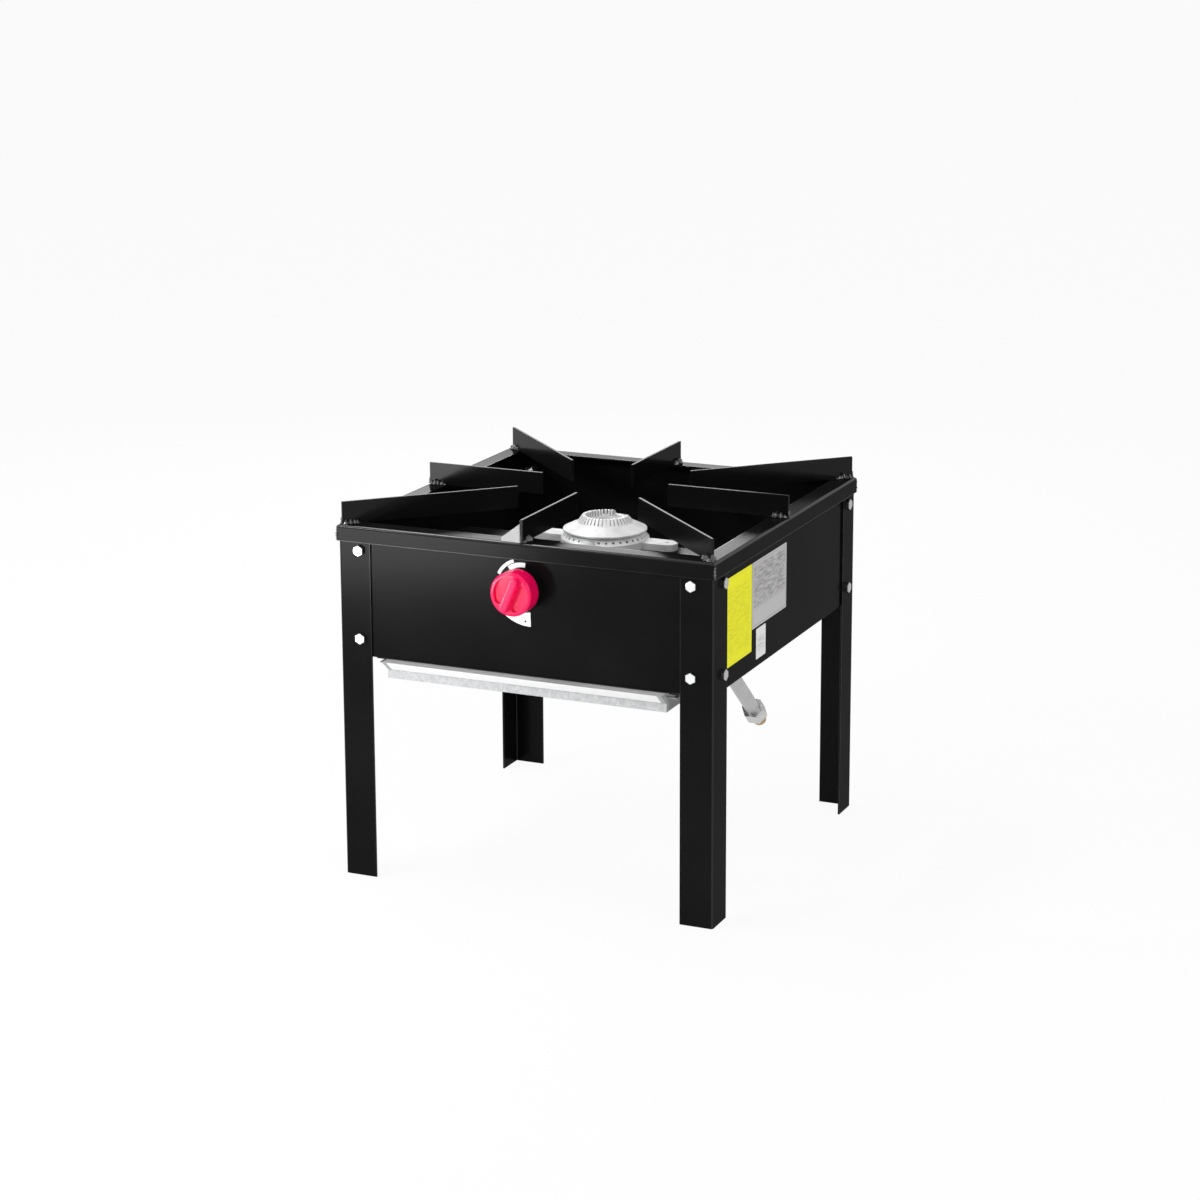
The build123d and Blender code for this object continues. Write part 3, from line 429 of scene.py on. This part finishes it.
def knob_plastic():
    """Glossy crimson moulded plastic, faintly translucent, paler where it is handled."""
    material, graph, shader = new_material("crimson_plastic")
    base = colour(0.88, 0.002, 0.095)
    handled_colour = colour(0.93, 0.03, 0.17)
    moulded = graph.stretched((1.0, 1.0, 0.4))
    swirl = graph.spread(graph.noise(40.0, roughness=0.5, vector=moulded))
    tint = graph.mix(swirl, scaled(base, 0.9), scaled(base, 1.1))
    handled_and_lit = graph.times(graph.edges(0.0012, 0.75, 0.96), 0.3)
    graph.put(shader, "Base Color", graph.mix(handled_and_lit, tint, handled_colour))
    graph.put(shader, "Roughness", graph.spread(graph.noise(260.0, detail=4.0), 0.2, 0.3))
    grain = graph.noise(420.0, detail=2.0)
    graph.put(shader, "Normal", graph.bump(grain, 0.0001, 0.12, graph.rounded(0.0011)))
    set_inputs(shader, {
        "Specular IOR Level": 0.15,
        "Subsurface Weight": 0.15,
        "Subsurface Radius": (0.004, 0.001, 0.001),
        "Subsurface Scale": 1.0,
        "Coat Weight": 0.32,
        "Coat Roughness": 0.07,
    })
    return material


def white_ink():
    """Ink film on paint: faint fibre and smudges."""
    material, graph, shader = new_material("white_ink")
    base = grey(0.92)
    fibre = graph.spread(graph.noise(900.0, detail=4.0, roughness=0.6))
    tint = graph.mix(fibre, scaled(base, 0.95), scaled(base, 1.04))
    smudge = graph.remap(graph.noise(40.0, detail=5.0, roughness=0.65), 0.45, 0.72, 0.0, 0.1)
    graph.put(shader, "Base Color", graph.mix(smudge, tint, scaled(base, 0.7)))
    graph.put(shader, "Roughness", graph.remap(fibre, 0.0, 1.0, 0.4, 0.5))
    graph.put(shader, "Normal", graph.bump(fibre, 0.00008, 0.2, graph.rounded(0.0002)))
    return material


def framed_sticker(name, node, base, shade, rim, line, low_end, high_end, strength):
    """Blank film sticker: plain rim, thin frame line and a softly mottled block, no words.

    The block lies between low_end and high_end, as shares of the sticker's height.
    """
    low, high = (Vector(corner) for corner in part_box(node))
    material, graph, shader = new_material(name)
    _, y, z = graph.axes(graph.coords())
    to_side = graph.least(graph.gap(y, low.y), graph.gap(y, high.y))
    to_end = graph.least(graph.gap(z, low.z), graph.gap(z, high.z))
    inset = graph.least(to_side, to_end)
    frame_line = graph.math("LESS_THAN", graph.gap(inset, rim), line / 2)
    upright = graph.remap(z, low.z, high.z)
    foot = graph.remap(upright, low_end - 0.04, low_end + 0.04)
    head = graph.remap(upright, high_end - 0.03, high_end + 0.03, 1.0, 0.0)
    inner = graph.remap(inset, rim * 1.2, rim * 2.4)
    block = graph.times(graph.times(foot, head), inner)
    rows = graph.stretched((1.0, 0.33, 2.8))
    cloud = graph.noise(210.0, detail=4.0, roughness=0.7, vector=rows)
    mottle = graph.times(block, graph.remap(cloud, 0.42, 0.62, 0.05, 1.0))
    mark = graph.most(graph.times(frame_line, 0.8), mottle)
    fibre = graph.spread(graph.noise(700.0, detail=4.0, roughness=0.6))
    tint = graph.mix(fibre, scaled(base, 0.95), scaled(base, 1.03))
    graph.put(shader, "Base Color", graph.mix(graph.times(mark, strength), tint, shade))
    graph.put(shader, "Roughness", graph.remap(fibre, 0.0, 1.0, 0.34, 0.46))
    graph.put(shader, "Normal", graph.bump(fibre, 0.00008, 0.15, graph.rounded(0.0002)))
    set_inputs(shader, {"Specular IOR Level": 0.03})
    return material


def weld_metal():
    """Enamel over rough weld metal: glossy, scaly and full of bright specks."""
    material, graph, shader = new_material("painted_weld")
    scale = graph.remap(graph.noise(300.0, detail=4.0, roughness=0.6), 0.4, 0.7)
    graph.put(shader, "Base Color", graph.mix(scale, grey(0.006), colour(0.035, 0.034, 0.033)))
    graph.put(shader, "Roughness", graph.remap(scale, 0.0, 1.0, 0.3, 0.5))
    pits = graph.noise(520.0, detail=4.0, roughness=0.65)
    graph.put(shader, "Normal", graph.bump(pits, 0.0006, 0.5, graph.rounded(0.0006)))
    set_inputs(shader, {"Coat Weight": 1.0, "Coat Roughness": 0.08})
    return material


# Pieces
def mesh_piece(name, build, material, body):
    """Makes a smooth mesh object from a function that fills a bmesh."""
    mesh = bpy.data.meshes.new(name)
    draft = bmesh.new()
    build(draft)
    bmesh.ops.recalc_face_normals(draft, faces=draft.faces)
    draft.to_mesh(mesh)
    draft.free()
    for face in mesh.polygons:
        face.use_smooth = True
    piece = bpy.data.objects.new(name, mesh)
    bpy.context.scene.collection.objects.link(piece)
    mesh.materials.append(material)
    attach(piece, body)
    return piece


def skin(draft, rings):
    """Joins rings of points into a tube with closed ends."""
    count = len(rings[0])
    for near, far in zip(rings, rings[1:]):
        for index in range(count):
            following = (index + 1) % count
            draft.faces.new((near[index], near[following], far[following], far[index]))
    draft.faces.new(rings[0])
    draft.faces.new(list(reversed(rings[-1])))


def directions(degrees):
    """Outward and sideways at an angle about the middle of the stove."""
    turn = math.radians(degrees)
    outward = Vector((math.cos(turn), math.sin(turn), 0.0))
    sideways = Vector((-math.sin(turn), math.cos(turn), 0.0))
    return outward, sideways


def lump(seed, share):
    """Swelling of a weld bead along its length: overlapping puddles of uneven size."""
    puddles = 4.2
    wander = 0.35 * noise.noise(Vector((seed, 0.3, share * 3.0)))
    puddle = abs(math.sin(math.pi * (share * puddles + wander)))
    drift = noise.noise(Vector((seed * 7.3, share * 4.0, 0.0)))
    return 0.45 + 0.6 * puddle + 0.5 * drift


def add_bead(draft, start, along, first, second, length, size, seed, sweep=0.5):
    """A lumpy bead: rows of a part-round section from first towards second.

    The section sweeps so many half turns. Its ends taper, and its skin is rough.
    """
    rows, steps = 40, 10
    least_end, taper, roughness = 0.05, 0.4, 0.22
    rings = []
    for row in range(rows + 1):
        share = row / rows
        end = max(least_end, math.sin(math.pi * share) ** taper)
        swell = size * end * lump(seed, share)
        centre = start + along * (length * share)
        ring = [draft.verts.new(centre)]
        for step in range(steps + 1):
            angle = math.pi * sweep * step / steps
            rough = 1.0 + roughness * noise.noise(Vector((share * 22.0, angle * 3.0, seed)))
            reach = first * math.cos(angle) + second * math.sin(angle)
            ring.append(draft.verts.new(centre + reach * (swell * rough)))
        rings.append(ring)
    skin(draft, rings)


def weld_beads(material):
    """Beads on both sides of every grate bar's foot, across its end and up it."""
    low, high = (Vector(corner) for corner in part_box("grate_bar_right"))
    half_bar = (high.y - low.y) / 2
    foot = UPWARD * low.z
    side_end = high.x
    corner_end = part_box("grate_bar_back_right")[1][0] * math.sqrt(2.0) - half_bar
    end_reach = half_bar * END_BEAD_SHARE

    def build(draft):
        for number in range(BAR_COUNT):
            outward, sideways = directions(number * 360 / BAR_COUNT)
            end = side_end if number % 2 == 0 else corner_end
            for hand in (-1, 1):
                side = sideways * hand
                start = outward * (end - FOOT_BEAD_INSET) + sideways * (hand * half_bar) + foot
                add_bead(
                    draft, start, -outward, side, UPWARD,
                    FOOT_BEAD_LENGTH, FOOT_BEAD_SIZE, number * 2 + hand * 0.5,
                )
            start = outward * end - sideways * end_reach + foot
            add_bead(
                draft, start, sideways, outward, UPWARD,
                end_reach * 2, END_BEAD_SIZE, number + 40.0,
            )
            tip = outward * (end - TIP_BEAD_INSET) + foot
            for side, seed, sweep in ((sideways, 60.0, 1.0), (-sideways, 80.0, 0.5)):
                add_bead(
                    draft, tip, UPWARD, side, outward,
                    TIP_BEAD_LENGTH, TIP_BEAD_SIZE, number + seed, sweep=sweep,
                )

    piece = mesh_piece("grate_weld_beads", build, material, "frame")
    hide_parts("grate_welds")


def mitre_beads(material):
    """Ground-down weld along the outside corner of the rim's skirt."""
    low, high = (Vector(corner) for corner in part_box("rim_front"))
    corner_reach = high.x * math.sqrt(2.0) - MITRE_INSET
    foot = UPWARD * (low.z + MITRE_FOOT_GAP)
    height = high.z - low.z - MITRE_SHORTER

    def build(draft):
        for number in range(4):
            outward, sideways = directions(45 + 90 * number)
            start = outward * corner_reach + foot
            add_bead(
                draft, start, UPWARD, sideways, outward,
                height, MITRE_BEAD_SIZE, number + 20.0, sweep=1.0,
            )

    mesh_piece("rim_corner_beads", build, material, "frame")


def stem_coil(material):
    """Return spring on the valve stem; the whole coil moves with the knob."""
    low, high = (Vector(corner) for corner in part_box("stem_spring"))
    middle = (low + high) / 2
    length = high.y - low.y
    coil_radius = (high.x - low.x) / 2 - WIRE_RADIUS
    coil_length = length - 2 * WIRE_RADIUS
    start = Vector((middle.x, low.y + WIRE_RADIUS, middle.z))

    def build(draft):
        rings = []
        for step in range(COIL_STEPS + 1):
            share = step / COIL_STEPS
            turn = 2.0 * math.pi * COIL_TURNS * share
            outward = Vector((math.cos(turn), 0.0, math.sin(turn)))
            centre = start + outward * coil_radius + BACKWARD * (coil_length * share)
            ring = []
            for point in range(WIRE_POINTS):
                angle = 2.0 * math.pi * point / WIRE_POINTS
                reach = outward * math.cos(angle) + BACKWARD * math.sin(angle)
                ring.append(draft.verts.new(centre + reach * WIRE_RADIUS))
            rings.append(ring)
        skin(draft, rings)

    piece = mesh_piece("stem_spring_coil", build, material, "knob")
    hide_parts("stem_spring")
    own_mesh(piece)


# Surroundings
def make_floor():
    """Large pale floor that shows white to the camera and keeps a soft shadow."""
    side = FLOOR_HALF_SIDE
    mesh = bpy.data.meshes.new("studio_floor")
    corners = [(-side, -side, 0), (side, -side, 0), (side, side, 0), (-side, side, 0)]
    mesh.from_pydata(corners, [], [(0, 1, 2, 3)])
    floor = bpy.data.objects.new("studio_floor", mesh)
    floor.location.z = -FLOOR_DROP
    bpy.context.scene.collection.objects.link(floor)
    material = bpy.data.materials.new("studio_floor")
    material.use_nodes = True
    graph = Graph(material.node_tree)
    output = graph.node("ShaderNodeOutputMaterial")
    matte = graph.node("ShaderNodeBsdfDiffuse")
    set_inputs(matte, {"Color": grey(0.8)})
    glow = graph.node("ShaderNodeEmission")
    set_inputs(glow, {"Color": grey(1.0), "Strength": 1.0})
    graph.show_white(output, matte, glow, FLOOR_WHITENESS)
    mesh.materials.append(material)


def make_world():
    """Soft studio surroundings, plain white where the camera, metal or glass shows them."""
    world = bpy.data.worlds.new("studio")
    bpy.context.scene.world = world
    world.use_nodes = True
    graph = Graph(world.node_tree)
    output = graph.node("ShaderNodeOutputWorld")
    soft = graph.node("ShaderNodeBackground")
    set_inputs(soft, {"Color": grey(1.0), "Strength": WORLD_STRENGTH})
    white = graph.node("ShaderNodeBackground")
    set_inputs(white, {"Color": grey(1.0), "Strength": 1.0})
    graph.show_white(output, soft, white, 1.0)


def add_lamp(name, place, target, size, watts):
    data = bpy.data.lights.new(name, "AREA")
    data.shape = "RECTANGLE"
    data.size, data.size_y = size
    data.energy = watts
    lamp = bpy.data.objects.new(name, data)
    lamp.location = place
    lamp.rotation_euler = (Vector(target) - Vector(place)).to_track_quat("-Z", "Y").to_euler()
    lamp.visible_camera = False
    bpy.context.scene.collection.objects.link(lamp)


# Assembly
bpy.context.scene.view_settings.view_transform = "Standard"
make_camera()
make_world()
make_floor()
for lamp in LAMPS:
    add_lamp(*lamp)

steel = plated("bare_steel", colour(0.62, 0.62, 0.61), 0.3, 0.45, 90.0)
bar_paint = black_paint(
    "black_bar_enamel", fold_gloss=0.35, edge_gloss=0.5, flat_gloss=0.14, edge_radius=0.0008,
)
BY_SLOT = {
    "black_paint": black_paint(
        "black_enamel", fold_gloss=0.6, edge_gloss=0.8, flat_gloss=0.095, edge_radius=0.0017,
    ),
    "bare_steel": steel,
    # Zinc screws on the right side get painted shade
    "zinc_plate": plated(
        "bright_zinc", colour(0.84, 0.85, 0.86), 0.16, 0.28, 160.0, shade_beyond=0.214,
    ),
    "galvanised": galvanised(),
    "silver_cast": cast_silver(),
    "brass": brass(),
    "stem_steel": steel,
    "tube_metal": plated("grey_tube", colour(0.47, 0.47, 0.475), 0.36, 0.48, 60.0),
    "knob_red": knob_plastic(),
    "white_print": white_ink(),
    "sticker_yellow": framed_sticker(
        "yellow_film", "sticker_yellow", colour(0.98, 0.95, 0.025), colour(0.66, 0.63, 0.02),
        rim=0.0028, line=0.0007, low_end=0.1, high_end=0.86, strength=0.55,
    ),
    "sticker_grey": framed_sticker(
        "grey_film", "sticker_grey", colour(0.58, 0.57, 0.58), colour(0.1, 0.09, 0.1),
        rim=0.0026, line=0.0006, low_end=0.3, high_end=0.95, strength=0.62,
    ),
    "sticker_white": framed_sticker(
        "white_film", "sticker_white", grey(0.88), grey(0.4),
        rim=0.0014, line=0.0, low_end=0.22, high_end=0.72, strength=0.5,
    ),
}
# Nodes that look unlike the rest of their slot
BY_NODE = {
    "front_bar_gusset": plated("grey_primed_steel", grey(0.22), 0.4, 0.5, 90.0),
    # The inlet nut's darker zinc colour is painted shade
    "inlet_nut": plated("shaded_zinc", colour(0.56, 0.56, 0.555), 0.22, 0.36, 120.0),
}
BY_NODE.update({name: bar_paint for name in NODES if name.startswith("grate_bar_")})

for row in frame["record"]["subparts"]:
    node = NODES[row["node"]]
    if not node.material_slots:
        node.data.materials.append(None)
    for material_slot in node.material_slots:
        material_slot.material = BY_NODE.get(row["node"]) or BY_SLOT[row["material_slot"]]

weld = weld_metal()
weld_beads(weld)
mitre_beads(weld)
stem_coil(steel)
